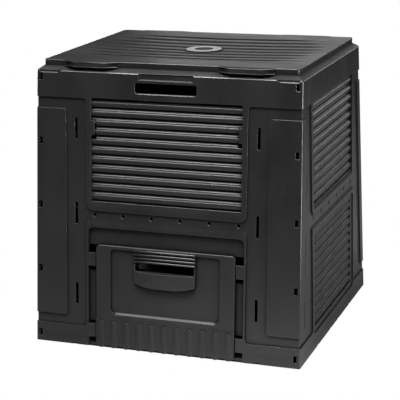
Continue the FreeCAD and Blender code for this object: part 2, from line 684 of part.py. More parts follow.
def hatch():
    near, far = LUG_DEPTHS
    lugs = []
    for low, high in TAB_SPANS:
        for side in (-1, 1):
            u0, u1 = sorted((side * (HATCH_HALF - HATCH_SHEET), side * LUG_TO))
            lugs.append(slab("front", (near, far), low + TAB_SHELF + LUG_CLEAR, high - LUG_CLEAR, u0, u1))
    half = FINGER_OPENING_HALF
    opening = bar("front", -half, half, FINGER_OPENING_BOTTOM, HANDLE_SLOT_SPAN[1])
    return merged([hatch_tray()] + hatch_skirt() + lugs).cut(opening)


def bowed_outline():
    """The outline of the handle, whose lower edge is a shallow arc."""
    left, right = -HANDLE_HALF, HANDLE_HALF
    corners = [FreeCAD.Vector(right, HANDLE_BOTTOM, 0), FreeCAD.Vector(right, HANDLE_TOP, 0),
               FreeCAD.Vector(left, HANDLE_TOP, 0), FreeCAD.Vector(left, HANDLE_BOTTOM, 0)]
    lowest = FreeCAD.Vector(0, HANDLE_BOTTOM - HANDLE_BOW, 0)
    edges = [Part.makeLine(a, b) for a, b in zip(corners, corners[1:])]
    edges.append(Part.Arc(corners[3], lowest, corners[0]).toShape())
    return Part.Wire(edges)


def cup():
    """The cup of the handle, which bulges most in its middle, and the hollow in it."""
    outside = section_bar("front", CUP, -HANDLE_SLOT_HALF, HANDLE_SLOT_HALF)
    outside = outside.common(bulge(0, HANDLE_SLOT_HALF, CUP_PROUD, HANDLE_PLATE_FRONT))
    hollow = section_bar("front", CUP_HOLLOW, -FINGER_OPENING_HALF, FINGER_OPENING_HALF)
    inner = bulge(0, FINGER_OPENING_HALF - CUP_WALL, CUP_PROUD, HANDLE_PLATE_FRONT + CUP_WALL)
    return outside, hollow.common(inner)


def hatch_handle():
    outline = through("front", bowed_outline())
    plate = outline.common(layer(HANDLE_PLATE_FRONT, PANEL_FRONT))
    ribs = []
    for z in HANDLE_RIB_HEIGHTS:
        low, high = z - HANDLE_RIB_HALF, z + HANDLE_RIB_HALF
        ribs.append(slab("front", (HANDLE_RIB_FRONT, 0), low, high, -HANDLE_HALF, HANDLE_HALF))
    outside, hollow = cup()
    low, high = HANDLE_SLOT_SPAN
    slot = bar("front", -FINGER_OPENING_HALF, FINGER_OPENING_HALF, low, high)
    strip = slab("front", (HANDLE_PLATE_FRONT, PANEL_FRONT), low - HANDLE_STRIP, low, -HANDLE_SLOT_HALF,
                 HANDLE_SLOT_HALF)
    border = layer(HATCH_FRONT, HATCH_BACK).cut(bar("front", -PANEL_HALF, PANEL_HALF, *PANEL_SPAN))
    solid = merged([plate, outside.common(outline)] + ribs).cut([slot, hollow])
    return solid.fuse(strip).cut([border, tapered(PANEL_FRONT)])


def rounded_block(hx, hy, z0, z1, radius):
    block = centred_box(hx, hy, z0, z1)
    return block.makeFillet(radius, upright_edges(block))


def flange(drop):
    """The sloping flange of the lid as a solid block, lowered by drop."""
    top_x, top_y = half_x(WALL_HEIGHT), half_y(WALL_HEIGHT)
    inset_x, inset_y = LID_CAP_INSETS
    ends = []
    for dx, dy, z in ((LID_FLANGE_INSET, LID_FLANGE_INSET, WALL_HEIGHT), (inset_x, inset_y, LID_FLANGE_TOP)):
        hx, hy = top_x - dx, top_y - dy
        ends.append(outline_at(-hx, hx, -hy, hy, z - drop))
    block = six_faced(*ends)
    return block.makeFillet(LID_FLANGE_CORNER, upright_edges(block))


def cap(inset, top, radius):
    """The cap of the lid as a solid block, smaller all round by inset."""
    hx, hy = half_x(WALL_HEIGHT) - LID_CAP_INSETS[0] - inset, half_y(WALL_HEIGHT) - LID_CAP_INSETS[1] - inset
    return rounded_block(hx, hy, WALL_HEIGHT + SPARE, top, radius)


def bowl(floor, radius_along):
    """Everything above a shallow bowl that is as wide as the lid."""
    hx, hy = half_x(WALL_HEIGHT), half_y(WALL_HEIGHT)
    rise_x, rise_y = hx ** 2 / (2 * radius_along), hy ** 2 / (2 * BOWL_RADIUS_ACROSS)
    surface = Part.BezierSurface()
    surface.increase(2, 2)
    for i in (-1, 0, 1):
        for j in (-1, 0, 1):
            bend = (2 * abs(i) - 1) * rise_x + (2 * abs(j) - 1) * rise_y
            surface.setPole(i + 2, j + 2, FreeCAD.Vector(i * hx, j * hy, floor + bend))
    return surface.toShape().extrude(UP * BOWL_BLOCK)


def lid_shell():
    """The cap and the flange of the lid as one hollow shell, with its top dished."""
    outside = cap(0, LID_CAP_TOP, LID_CAP_CORNER)
    top_face = max(outside.Faces, key=lambda face: face.CenterOfMass.z)
    outside = outside.makeFillet(LID_CAP_EDGE, top_face.Edges)
    inside = cap(LID_SHEET, LID_CAP_TOP - LID_SHEET, LID_CAP_CORNER - LID_SHEET)
    underside = bowl(BOWL_FLOOR - GROOVE_DEPTH - LID_SHEET, BOWL_RADIUS_ALONG)
    shell = flange(0).fuse(outside).cut([flange(LID_FLANGE_DROP), inside.cut(underside)])
    return shell.cut(bowl(BOWL_FLOOR, BOWL_RADIUS_ALONG))


def grooves():
    """Long grooves across the bowl, which run out at both ends."""
    hollow = bowl(BOWL_FLOOR - GROOVE_DEPTH, GROOVE_RADIUS_ALONG)
    bars = []
    for number in range(GROOVE_COUNT):
        y = (number - (GROOVE_COUNT - 1) / 2) * GROOVE_PITCH
        bars.append(box(-GROOVE_REACH, GROOVE_REACH, y - GROOVE_HALF_WIDTH, y + GROOVE_HALF_WIDTH,
                        LID_FLANGE_TOP, LID_CAP_TOP + SPARE))
    return [bar.common(hollow) for bar in bars]


def disc(radius, low, high):
    return Part.makeCylinder(radius, high - low, UP * low)


def lid_badge():
    """A plain round plate with a low rim, which lies in the ring of the lid."""
    base = BOWL_FLOOR - BOSS_WELL
    middle = base + BADGE_HEIGHT
    well = disc(BADGE_RADIUS - BADGE_RIM, middle, middle + 2 * BADGE_RIM_HEIGHT)
    return disc(BADGE_RADIUS, base, middle + BADGE_RIM_HEIGHT).cut(well)


def grip_block(wall, place, grow, back, low, high):
    """An upright block whose plan is a trapezium, narrower at the edge of the lid."""
    front = half_y(WALL_HEIGHT) - GRIP_FRONT_INSET + grow
    wide, narrow = GRIP_BACK_HALF + grow, GRIP_FRONT_HALF + grow
    corners = [(place - wide, back), (place + wide, back), (place + narrow, front), (place - narrow, front)]
    if wall == "front":
        corners = [(x, -y) for x, y in reversed(corners)]
    return six_faced([(x, y, low) for x, y in corners], [(x, y, high) for x, y in corners])


def crosswise_bar(wall, section):
    """A long bar along the front or rear, whose section is given as distance outwards and height."""
    points = [FreeCAD.Vector(-FAR, OUTWARDS[wall].y * y, z) for y, z in section]
    return Part.Face(Part.makePolygon(points + points[:1])).extrude(FreeCAD.Vector(2 * FAR, 0, 0))


def grip_gap(wall, place):
    """The opening for fingers in the flange below a grip, seen from the front as a trapezium."""
    lower, upper = GRIP_GAP_HALVES
    low, high = GRIP_GAP_BOTTOM, GRIP_BOTTOM
    corners = ((place - lower, low), (place + lower, low), (place + upper, high), (place - upper, high))
    points = [FreeCAD.Vector(u, v, 0) for u, v in corners]
    inner = half_y(WALL_HEIGHT) - LID_CAP_INSETS[1] - LID_SHEET
    outside = crosswise_bar(wall, ((inner, low - SPARE), (FAR, low - SPARE), (FAR, high + SPARE),
                                   (inner, high + SPARE)))
    return through(wall, Part.makePolygon(points + points[:1])).common(outside)


def grip(wall, place):
    """The cutters and the pieces of one finger grip: a hollow block with a lip, and its back."""
    wall_face = half_y(WALL_HEIGHT) - LID_CAP_INSETS[1]
    inner = wall_face - LID_SHEET
    front = half_y(WALL_HEIGHT) - GRIP_FRONT_INSET
    pocket = grip_block(wall, place, -GRIP_SHEET, inner, GRIP_GAP_BOTTOM, GRIP_FRONT_TOP - GRIP_SHEET)
    block = grip_block(wall, place, 0, wall_face - LID_CAP_EDGE - SPARE, GRIP_BOTTOM, LID_CAP_TOP)
    fall = (LID_CAP_TOP - GRIP_FRONT_TOP) / (front - wall_face)
    far = front + GRIP_LIP + SPARE
    above = crosswise_bar(wall, ((wall_face, LID_CAP_TOP), (far, LID_CAP_TOP - fall * (far - wall_face)),
                                 (far, LID_CAP_TOP + SPARE), (wall_face, LID_CAP_TOP + SPARE)))
    lip = grip_block(wall, place, GRIP_LIP, wall_face - SPARE, GRIP_BOTTOM, GRIP_BOTTOM + GRIP_LIP_HEIGHT)
    side = OUTWARDS[wall].y
    y0, y1 = sorted((side * inner, side * (inner - LID_SHEET)))
    half = GRIP_BACK_HALF + LID_SHEET
    back = box(place - half, place + half, y0, y1, GRIP_BACK_BOTTOM, LID_CAP_TOP - LID_SHEET / 2)
    return [grip_gap(wall, place), pocket], [block.cut([above, pocket]), lip.cut(pocket), back]


def lid_under():
    """Ribs that drop inside the walls to place the lid, and feet for the steps of the rim."""
    top_x, top_y = half_x(WALL_HEIGHT), half_y(WALL_HEIGHT)
    near, far = LOCATING_RIB_INSETS
    low, high = LOCATING_RIB_SPAN
    rib_x, rib_y = LOCATING_RIB_HALF
    pieces = []
    for side in (-1, 1):
        y0, y1 = sorted((side * (top_y - near), side * (top_y - far)))
        pieces.append(box(-rib_x, rib_x, y0, y1, low, high))
        x0, x1 = sorted((side * (top_x - near), side * (top_x - far)))
        pieces.append(box(x0, x1, -rib_y, rib_y, low, high))
    near, far = FOOT_INSETS
    for wall in ("front", "rear"):
        y0, y1 = sorted((OUTWARDS[wall].y * (top_y - near), OUTWARDS[wall].y * (top_y - far)))
        strip = box(-FAR, FAR, y0, y1, WALL_HEIGHT - RIM_STEP, WALL_HEIGHT + SPARE)
        for outline in rim_step_outlines(FOOT_CLEARANCE, WALL_HEIGHT + SPARE):
            pieces.append(through(wall, outline).common(strip))
    return pieces


def lid():
    cutters = grooves()
    boss = disc(BOSS_RADIUS, BOWL_FLOOR - GROOVE_DEPTH - SPARE, BOWL_FLOOR + BOSS_HEIGHT)
    additions = [boss] + lid_under()
    for wall in ("front", "rear"):
        for place in (-GRIP_PLACE, GRIP_PLACE):
            hollows, pieces = grip(wall, place)
            cutters += hollows
            additions += pieces
    well = disc(BOSS_INNER_RADIUS, BOWL_FLOOR - BOSS_WELL, LID_CAP_TOP)
    return merged([lid_shell().cut(cutters)] + additions).cut(well)


def write(name, shape):
    shape = shape.removeSplitter()
    solids = len(shape.Solids)
    print(f"{name}: {solids} solid, {shape.Volume / 1000:.0f} cm3, valid {shape.isValid()}")
    shape.exportStep(f"parts/{name}.step")


def main():
    os.makedirs("parts", exist_ok=True)
    write("front_wall", front_wall())
    write("rear_wall", rear_wall())
    for wall in ("left", "right"):
        write(f"{wall}_wall", side_wall(wall))
    for wall in ("left", "right", "rear"):
        write(f"{wall}_vent_panel", vent_panel(wall))
    write("hatch", hatch())
    write("hatch_handle", hatch_handle())
    write("lid", lid())
    write("lid_badge", lid_badge())


main()
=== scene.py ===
# %% [markdown]
# # A garden compost bin
# The bin is a box of moulded plastic panels with a lift-off lid and a hatch at its foot.
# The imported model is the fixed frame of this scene: every panel already has its real place
# and size, in metres. Here the panels get soft edges, plastic finishes, light and a camera.

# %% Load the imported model
import math

import bmesh
import bpy
from mathutils import Matrix, Vector


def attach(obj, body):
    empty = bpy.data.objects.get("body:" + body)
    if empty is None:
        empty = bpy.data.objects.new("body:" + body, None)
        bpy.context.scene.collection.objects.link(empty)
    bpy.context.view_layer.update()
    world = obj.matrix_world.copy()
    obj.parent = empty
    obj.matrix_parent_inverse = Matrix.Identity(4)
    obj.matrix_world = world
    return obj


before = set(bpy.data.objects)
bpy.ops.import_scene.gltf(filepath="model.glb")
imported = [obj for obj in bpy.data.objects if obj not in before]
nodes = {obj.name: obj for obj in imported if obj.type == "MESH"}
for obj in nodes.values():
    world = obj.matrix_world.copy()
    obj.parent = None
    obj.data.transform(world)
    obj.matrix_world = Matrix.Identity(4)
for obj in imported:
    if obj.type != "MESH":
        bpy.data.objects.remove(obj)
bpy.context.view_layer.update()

MM = 0.001
print("panels:", sorted(nodes))

# %% [markdown]
# ## Helpers for shaders
# A finish is a graph of small shader nodes. Each node takes some lines to add, to set and to
# link, so a few helpers do that. They take plain values or the results of earlier nodes, and
# they hand back the result of the new node, which makes a graph read like a sum.


# %% Helpers that feed a socket, calculate and make noise
def feed(tree, socket, value):
    """Link the result of another node to a socket, or set a plain value."""
    if isinstance(value, bpy.types.NodeSocket):
        tree.links.new(value, socket)
    else:
        socket.default_value = value


def calculate(tree, operation, *values):
    node = tree.nodes.new("ShaderNodeMath")
    node.operation = operation
    for socket, value in zip(node.inputs, values):
        feed(tree, socket, value)
    return node.outputs[0]


def noise(tree, place, scale, **settings):
    node = tree.nodes.new("ShaderNodeTexNoise")
    feed(tree, node.inputs["Vector"], place)
    feed(tree, node.inputs["Scale"], scale)
    for label, value in settings.items():
        node.inputs[label].default_value = value
    return node.outputs["Fac"]


# %% A helper that starts a shader group with named sockets
def new_group(name, inputs, outputs):
    group = bpy.data.node_groups.new(name, "ShaderNodeTree")
    for label, kind, value in inputs:
        socket = group.interface.new_socket(name=label, in_out="INPUT", socket_type=kind)
        if value is not None:
            socket.default_value = value
    for label, kind in outputs:
        group.interface.new_socket(name=label, in_out="OUTPUT", socket_type=kind)
    return group, group.nodes.new("NodeGroupInput"), group.nodes.new("NodeGroupOutput")


# %% [markdown]
# ## Grain of the moulds
# The steel moulds of such panels are etched, which leaves a fine dull grain in the plastic.
# It could be painted or displaced, but it is finer than a millimetre, so a bump from noise is
# enough. A group keeps the recipe in one place, and each finish sets its own grain.

# %% Build the grain group
grain_group, grain_in, grain_out = new_group(
    "etched grain",
    [("Vector", "NodeSocketVector", None), ("Grain Size", "NodeSocketFloat", 1.2 * MM)],
    [("Height", "NodeSocketFloat")],
)
place = grain_in.outputs["Vector"]
per_metre = calculate(grain_group, "DIVIDE", 1.0, grain_in.outputs["Grain Size"])
pits = grain_group.nodes.new("ShaderNodeTexVoronoi")
pits.feature = "SMOOTH_F1"
feed(grain_group, pits.inputs["Vector"], place)
feed(grain_group, pits.inputs["Scale"], per_metre)
fuzz = noise(grain_group, place, per_metre, Detail=3.0)
height = calculate(grain_group, "ADD", pits.outputs["Distance"], fuzz)
feed(grain_group, grain_out.inputs["Height"], height)
print("group made:", grain_group.name, "with", len(grain_group.nodes), "nodes")

# %% [markdown]
# ## Flow marks
# Molten plastic cools unevenly in a large mould. On the real panels this shows as faint
# cloudy areas, a little duller or lighter than the rest. One group gives a soft mask for it,
# stretched upwards the way the plastic ran, and each finish decides how strong it is.


# %% Helpers that stretch a pattern and turn one range into another
def stretched(tree, place, scale, turn=0.0):
    """Stretch a pattern along its axes and turn it about X and Y."""
    node = tree.nodes.new("ShaderNodeMapping")
    node.inputs["Rotation"].default_value = (turn, turn, 0.0)
    node.inputs["Scale"].default_value = scale
    feed(tree, node.inputs["Vector"], place)
    return node.outputs[0]


def remap(tree, value, start, end, low=0.0, high=1.0, kind="LINEAR"):
    """Turn the range from start to end into the one from low to high, and stay within it."""
    node = tree.nodes.new("ShaderNodeMapRange")
    node.interpolation_type = kind
    labels = ("Value", "From Min", "From Max", "To Min", "To Max")
    for label, number in zip(labels, (value, start, end, low, high)):
        feed(tree, node.inputs[label], number)
    return node.outputs[0]


# %% Build the flow mark group
FLOW_STRETCH = (1.0, 1.0, 0.45)
CLOUD_START, CLOUD_FULL = 0.35, 0.68
flow_group, flow_in, flow_out = new_group(
    "flow marks",
    [("Vector", "NodeSocketVector", None), ("Mark Size", "NodeSocketFloat", 120 * MM)],
    [("Mask", "NodeSocketFloat")],
)
place = stretched(flow_group, flow_in.outputs["Vector"], FLOW_STRETCH)
per_metre = calculate(flow_group, "DIVIDE", 1.0, flow_in.outputs["Mark Size"])
clouds = noise(flow_group, place, per_metre, Detail=5.0, Distortion=0.6)
mask = remap(flow_group, clouds, CLOUD_START, CLOUD_FULL)
feed(flow_group, flow_out.inputs["Mask"], mask)
print("group made:", flow_group.name, "with", len(flow_group.nodes), "nodes")

# %% [markdown]
# ## Handling scratches
# Panels slide against each other in the box they are sold in, and a spade brushes past them.
# What stays are faint hair lines that run in two directions. Real ones are cut into the
# surface, but they are so shallow that they hardly change its shape, so a mask for the colour
# and the roughness is enough. Two stretched noises give the lines, and a third one leaves
# most places bare.

# %% Build the scratch group
HAIR_LAYS = ((12, (1.0, 1.0, 0.03)), (-64, (1.0, 0.5, 0.02)))
HAIR_START, HAIR_FULL = 0.66, 0.74
PATCHES_PER_METRE = 9.0
PATCH_START, PATCH_FULL = 0.50, 0.62
scratch_group, scratch_in, scratch_out = new_group(
    "handling scratches",
    [("Vector", "NodeSocketVector", None), ("Line Width", "NodeSocketFloat", 1.2 * MM)],
    [("Mask", "NodeSocketFloat")],
)
place = scratch_in.outputs["Vector"]
per_metre = calculate(scratch_group, "DIVIDE", 1.0, scratch_in.outputs["Line Width"])
bundles = []
for degrees, stretch in HAIR_LAYS:
    lay = stretched(scratch_group, place, stretch, math.radians(degrees))
    hairs = noise(scratch_group, lay, per_metre, Detail=1.0)
    bundles.append(remap(scratch_group, hairs, HAIR_START, HAIR_FULL))
crossed = calculate(scratch_group, "MAXIMUM", *bundles)
patches = noise(scratch_group, place, PATCHES_PER_METRE)
worn_places = remap(scratch_group, patches, PATCH_START, PATCH_FULL)
mask = calculate(scratch_group, "MULTIPLY", crossed, worn_places)
feed(scratch_group, scratch_out.inputs["Mask"], mask)
print("group made:", scratch_group.name, "with", len(scratch_group.nodes), "nodes")

# %% [markdown]
# ## Edges and recesses
# A moulded edge is a small round that hands rub smooth and a little paler, and the edge mask
# also paints a highlight along every edge. Every recess is darkened as painted shade, and dust
# and the release wax of the mould sit there too. Painting both by hand would take a map for
# each panel. A Bevel node finds the edges by itself and also rounds their shading, and an
# Ambient Occlusion node finds the recesses, so one group serves every panel.

# %% Build the group that finds edges and recesses
EDGE_START, EDGE_FULL = 0.995, 0.80
RECESS_START = 0.95
relief_group, relief_in, relief_out = new_group(
    "edges and recesses",
    [
        ("Edge Radius", "NodeSocketFloat", 1.4 * MM),
        ("Recess Reach", "NodeSocketFloat", 30 * MM),
        ("Dark At", "NodeSocketFloat", 0.6),
    ],
    [
        ("Normal", "NodeSocketVector"),
        ("Edge", "NodeSocketFloat"),
        ("Recess", "NodeSocketFloat"),
    ],
)
rounded = relief_group.nodes.new("ShaderNodeBevel")
rounded.samples = 8
surface = relief_group.nodes.new("ShaderNodeNewGeometry")
agree = relief_group.nodes.new("ShaderNodeVectorMath")
agree.operation = "DOT_PRODUCT"
openness = relief_group.nodes.new("ShaderNodeAmbientOcclusion")
openness.samples = 6
feed(relief_group, rounded.inputs["Radius"], relief_in.outputs["Edge Radius"])
feed(relief_group, openness.inputs["Distance"], relief_in.outputs["Recess Reach"])
feed(relief_group, agree.inputs[0], rounded.outputs["Normal"])
feed(relief_group, agree.inputs[1], surface.outputs["Normal"])
# an edge is where the rounded shading turns away from the surface; it gets a painted highlight
edge = remap(relief_group, agree.outputs["Value"], EDGE_START, EDGE_FULL)
dark_limit = relief_in.outputs["Dark At"]
# little open sky around a point marks a recess, which gets painted shade
recess = remap(relief_group, openness.outputs["AO"], RECESS_START, dark_limit)
feed(relief_group, relief_out.inputs["Normal"], rounded.outputs["Normal"])
feed(relief_group, relief_out.inputs["Edge"], edge)
feed(relief_group, relief_out.inputs["Recess"], recess)
print("group made:", relief_group.name, "with", len(relief_group.nodes), "nodes")

# %% [markdown]
# ## Finishes
# All panels are one black plastic. The walls are satin, the lid has a coarser grain that hides
# scratches, the ribs of the grip are rubbed smooth, the ring on the lid is pale and the disc in
# it is dull. A Principled shader carries the gloss, and the groups feed its colour, its
# roughness and a bump. Edges are paler, partly rubbed and partly a painted highlight. Recesses
# get painted shade: they are darker, and they mirror less, because they see little of the room.
# Dust makes them dull. Near the ground nothing counts as a recess, since the floor itself would
# be taken for a wall of one.


# %% Helpers that mix colours, place a group, read a coordinate and lay a bump
def mixed(tree, factor, below, above):
    """Mix two colours, each a plain one or the result of a node."""
    node = tree.nodes.new("ShaderNodeMix")
    node.data_type = "RGBA"
    feed(tree, node.inputs["Factor"], factor)
    for label, colour in (("A", below), ("B", above)):
        plain = not isinstance(colour, bpy.types.NodeSocket)
        feed(tree, node.inputs[label], (*colour, 1.0) if plain else colour)
    return node.outputs["Result"]


def tinted(tree, mask, strength, below, colour, tone=1.0):
    """Lay a tone of a colour over the one below, where the mask is, at most by strength."""
    amount = calculate(tree, "MULTIPLY", mask, strength)
    return mixed(tree, amount, below, [tone * part for part in colour])


def placed(tree, group, place, **values):
    """Place a group with its own values, and with a place where it takes one."""
    node = tree.nodes.new("ShaderNodeGroup")
    node.node_tree = group
    for label, value in values.items():
        node.inputs[label.replace("_", " ")].default_value = value
    if place is not None:
        tree.links.new(place, node.inputs["Vector"])
    return node


def along(tree, place, axis):
    node = tree.nodes.new("ShaderNodeSeparateXYZ")
    tree.links.new(place, node.inputs[0])
    return node.outputs[axis]


def bumped(tree, name, height, distance, strength, normal):
    node = tree.nodes.new("ShaderNodeBump")
    node.name = name
    labels = ("Height", "Distance", "Strength", "Normal")
    for label, value in zip(labels, (height, distance, strength, normal)):
        feed(tree, node.inputs[label], value)
    return node


# %% A function that makes one plastic
BLACK, CHARCOAL = (0.0085, 0.0086, 0.0088), (0.012, 0.0122, 0.0125)
SCRATCH_COVER, SCRATCH_TONE, SCRATCH_DULLNESS = 0.35, 2.2, 0.10
# the painted highlight along the edges, partly rubbed paler plastic
EDGE_HIGHLIGHT_COVER, EDGE_HIGHLIGHT_TONE = 0.8, 3.0
# the painted shade in the recesses
RECESS_SHADE_COVER, RECESS_SHADE_TONE = 0.9, 0.15
SCRATCH_WIDTH, RECESS_REACH = 1.1 * MM, 36 * MM
GROUND_END, GROUND_CLEAR = 15 * MM, 45 * MM
OPEN_SPECULAR, RECESS_SPECULAR = 0.5, 0.15
FLOW_GLOSS, FLOW_DULLNESS = 0.04, 0.05
GRAIN_STRENGTH = 0.35


def plastic(name, roughness, grain_size, grain_depth, mark_size, dark=BLACK, light=CHARCOAL,
            edge_radius=2.2 * MM, dark_at=0.72, dust=0.4):
    """Make one moulded plastic from its two tones and the sizes of its marks."""
    material = bpy.data.materials.new(name)
    material.use_nodes = True
    tree = material.node_tree
    shader = tree.nodes["Principled BSDF"]
    place = tree.nodes.new("ShaderNodeTexCoord").outputs["Object"]
    grain = placed(tree, grain_group, place, Grain_Size=grain_size).outputs["Height"]
    flow = placed(tree, flow_group, place, Mark_Size=mark_size).outputs["Mask"]
    scratches = placed(tree, scratch_group, place, Line_Width=SCRATCH_WIDTH).outputs["Mask"]
    relief = placed(tree, relief_group, None, Edge_Radius=edge_radius,
                    Recess_Reach=RECESS_REACH, Dark_At=dark_at).outputs
    off_ground = remap(tree, along(tree, place, "Z"), GROUND_END, GROUND_CLEAR)
    recess = calculate(tree, "MULTIPLY", relief["Recess"], off_ground)

    colour = tinted(tree, flow, 1.0, dark, light)
    colour = tinted(tree, scratches, SCRATCH_COVER, colour, light, SCRATCH_TONE)
    # painted highlight along the edges, partly rubbed paler plastic
    colour = tinted(tree, relief["Edge"], EDGE_HIGHLIGHT_COVER, colour, light, EDGE_HIGHLIGHT_TONE)
    # painted shade in the recesses
    colour = tinted(tree, recess, RECESS_SHADE_COVER, colour, dark, RECESS_SHADE_TONE)

    dull = remap(tree, flow, 0.0, 1.0, roughness - FLOW_GLOSS, roughness + FLOW_DULLNESS)
    dull = calculate(tree, "MULTIPLY_ADD", scratches, SCRATCH_DULLNESS, dull)
    dull = calculate(tree, "MULTIPLY_ADD", recess, dust, dull)
    # painted shade in the reflections: recesses mirror less
    specular = remap(tree, recess, 0.0, 1.0, OPEN_SPECULAR, RECESS_SPECULAR)
    bump = bumped(tree, "grain", grain, grain_depth, GRAIN_STRENGTH, relief["Normal"])

    feed(tree, shader.inputs["Base Color"], colour)
    feed(tree, shader.inputs["Roughness"], dull)
    feed(tree, shader.inputs["Specular IOR Level"], specular)
    feed(tree, shader.inputs["Normal"], bump.outputs["Normal"])
    print("finish made:", name)
    return material


# %% Make the finishes of the panels
wall_plastic = plastic(
    "satin wall plastic", roughness=0.27, grain_size=1.3 * MM, grain_depth=0.12 * MM,
    mark_size=160 * MM, dark_at=0.76)
vent_plastic = plastic(
    "satin vent plastic", roughness=0.31, grain_size=1.3 * MM, grain_depth=0.12 * MM,
    mark_size=100 * MM)
hatch_plastic = plastic(
    "satin hatch plastic", roughness=0.42, grain_size=1.2 * MM, grain_depth=0.12 * MM,
    mark_size=120 * MM)
lid_plastic = plastic(
    "grained lid plastic", roughness=0.33, grain_size=1.8 * MM, grain_depth=0.16 * MM,
    mark_size=140 * MM, edge_radius=0.8 * MM, dark_at=0.84, dust=0.5)

# %% Make the finishes of the small pieces
RING_GREY, RING_PALE = (0.10, 0.10, 0.10), (0.13, 0.13, 0.13)
ring_plastic = plastic(
    "pale ring plastic", roughness=0.38, grain_size=0.8 * MM, grain_depth=0.06 * MM,
    mark_size=20 * MM, dark=RING_GREY, light=RING_PALE, edge_radius=0.3 * MM)
grip_plastic = plastic(
    "rubbed grip plastic", roughness=0.22, grain_size=1.2 * MM, grain_depth=0.04 * MM,
    mark_size=50 * MM, edge_radius=0.5 * MM, dark_at=0.2, dust=0.1)
disc_plastic = plastic(
    "dull disc plastic", roughness=0.62, grain_size=0.8 * MM, grain_depth=0.06 * MM,
    mark_size=30 * MM, light=BLACK, edge_radius=0.6 * MM)

# %% [markdown]
# The top of the lid is pressed into soft waves, and each groove lies in the trough of one. The
# packed lid has the grooves with plain sides. A wave along the lid, laid as a bump under the
# grain, gives the ground between them its round shape, and it fades out where they end.

# %% Add the waves of the lid to its finish
GROOVE_PITCH, WAVE_DEPTH = 52 * MM, 2 * MM
WAVE_FADES = (("X", 240 * MM, 360 * MM), ("Y", 200 * MM, 215 * MM))
tree = lid_plastic.node_tree
place = tree.nodes.new("ShaderNodeTexCoord").outputs["Object"]
turns = calculate(tree, "MULTIPLY", along(tree, place, "Y"), math.tau / GROOVE_PITCH)
height = calculate(tree, "COSINE", turns)
for axis, fade_start, fade_end in WAVE_FADES:
    distance = calculate(tree, "ABSOLUTE", along(tree, place, axis))
    height = calculate(tree, "MULTIPLY", height, remap(tree, distance, fade_end, fade_start))
grain_normal = tree.nodes["grain"].inputs["Normal"]
waves = bumped(tree, "waves", height, WAVE_DEPTH, 1.0, grain_normal.links[0].from_socket)
feed(tree, grain_normal, waves.outputs["Normal"])
print("waves laid along the lid, one each", GROOVE_PITCH, "m")

# %% [markdown]
# ## Soft edges
# A moulded edge is never sharp: it has a radius of about a millimetre, and that small round is
# what catches the light along every slat and rim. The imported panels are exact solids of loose
# triangles, so the triangles are welded, flat areas are joined again and a Bevel rounds what is
# left. These are modifiers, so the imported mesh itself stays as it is.

# %% A function that rounds the edges of a panel
WELD_REACH, EDGE_WIDTH = 0.02 * MM, 0.6 * MM
FLAT_ANGLE, EDGE_ANGLE = math.radians(0.6), math.radians(24)


def soften(panel):
    weld = panel.modifiers.new("join the triangles", "WELD")
    weld.merge_threshold = WELD_REACH
    flat = panel.modifiers.new("join flat areas", "DECIMATE")
    flat.decimate_type = "DISSOLVE"
    flat.angle_limit = FLAT_ANGLE
    rounding = panel.modifiers.new("round the edges", "BEVEL")
    rounding.width = EDGE_WIDTH
    rounding.segments = 2
    rounding.limit_method = "ANGLE"
    rounding.angle_limit = EDGE_ANGLE
    rounding.harden_normals = True
    even = panel.modifiers.new("keep flat areas flat", "WEIGHTED_NORMAL")
    even.keep_sharp = True


# %% Give each panel its finish and its edges
finishes = {
    "front_wall": wall_plastic,
    "rear_wall": wall_plastic,
    "left_wall": wall_plastic,
    "right_wall": wall_plastic,
    "left_vent_panel": vent_plastic,
    "right_vent_panel": vent_plastic,
    "rear_vent_panel": vent_plastic,
    "hatch": hatch_plastic,
    "hatch_handle": hatch_plastic,
    "lid": lid_plastic,
    "lid_badge": disc_plastic,
}
for name, finish in finishes.items():
    for slot in nodes[name].material_slots:
        slot.material = finish
    soften(nodes[name])
    print(name, "wears", finish.name)

# %% [markdown]
# ## The ring on the lid
# The raised ring in the middle of the lid carries a paler band, which is moulded apart and
# pressed on. It is a flat hoop with soft edges. A torus would be too round, so its section is
# drawn as a small rectangle, its corners are bevelled and the section is spun once round.


# %% A function that makes an object of a mesh
def new_piece(name, mesh, finish, smooth):
    mesh.materials.append(finish)
    for face in mesh.polygons:
        face.use_smooth = smooth
    piece = bpy.data.objects.new(name, mesh)
    bpy.context.scene.collection.objects.link(piece)
    return piece


# %% Make the pale hoop
RING_INNER, RING_OUTER = 27.0 * MM, 52.0 * MM
RING_BOTTOM, RING_TOP = 803.2 * MM, 803.9 * MM
RING_SOFTNESS, RING_STEPS = 0.3 * MM, 96
corners = ((RING_INNER, RING_BOTTOM), (RING_OUTER, RING_BOTTOM),
           (RING_OUTER, RING_TOP), (RING_INNER, RING_TOP))
hoop = bmesh.new()
section = [hoop.verts.new((radius, 0.0, height)) for radius, height in corners]
hoop.faces.new(section)
bmesh.ops.bevel(hoop, geom=section[2:], offset=RING_SOFTNESS, affect="VERTICES",
                segments=3, profile=0.5, material=-1)
outline = list(hoop.edges)
bmesh.ops.delete(hoop, geom=list(hoop.faces), context="FACES_ONLY")
bmesh.ops.spin(hoop, geom=outline, cent=(0, 0, 0), axis=(0, 0, 1), angle=math.tau,
               steps=RING_STEPS, use_merge=True)
bmesh.ops.recalc_face_normals(hoop, faces=hoop.faces)
ring_mesh = bpy.data.meshes.new("lid_ring")
hoop.to_mesh(ring_mesh)
hoop.free()
lid_ring = new_piece("lid_ring", ring_mesh, ring_plastic, smooth=False)
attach(lid_ring, "lid")
print("ring made with", len(ring_mesh.polygons), "faces")

# %% [markdown]
# ## Ribs of the grip
# Above the slot of the hatch, four rounded ribs give the thumb a hold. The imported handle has
# them as square bars. A round bar in front of each, as long as the plate, gives the soft top
# that catches the light. A cylinder with bevelled ends does that, laid along the plate. The
# front of the bin leans back, so each bar lies a little further back than the one below.

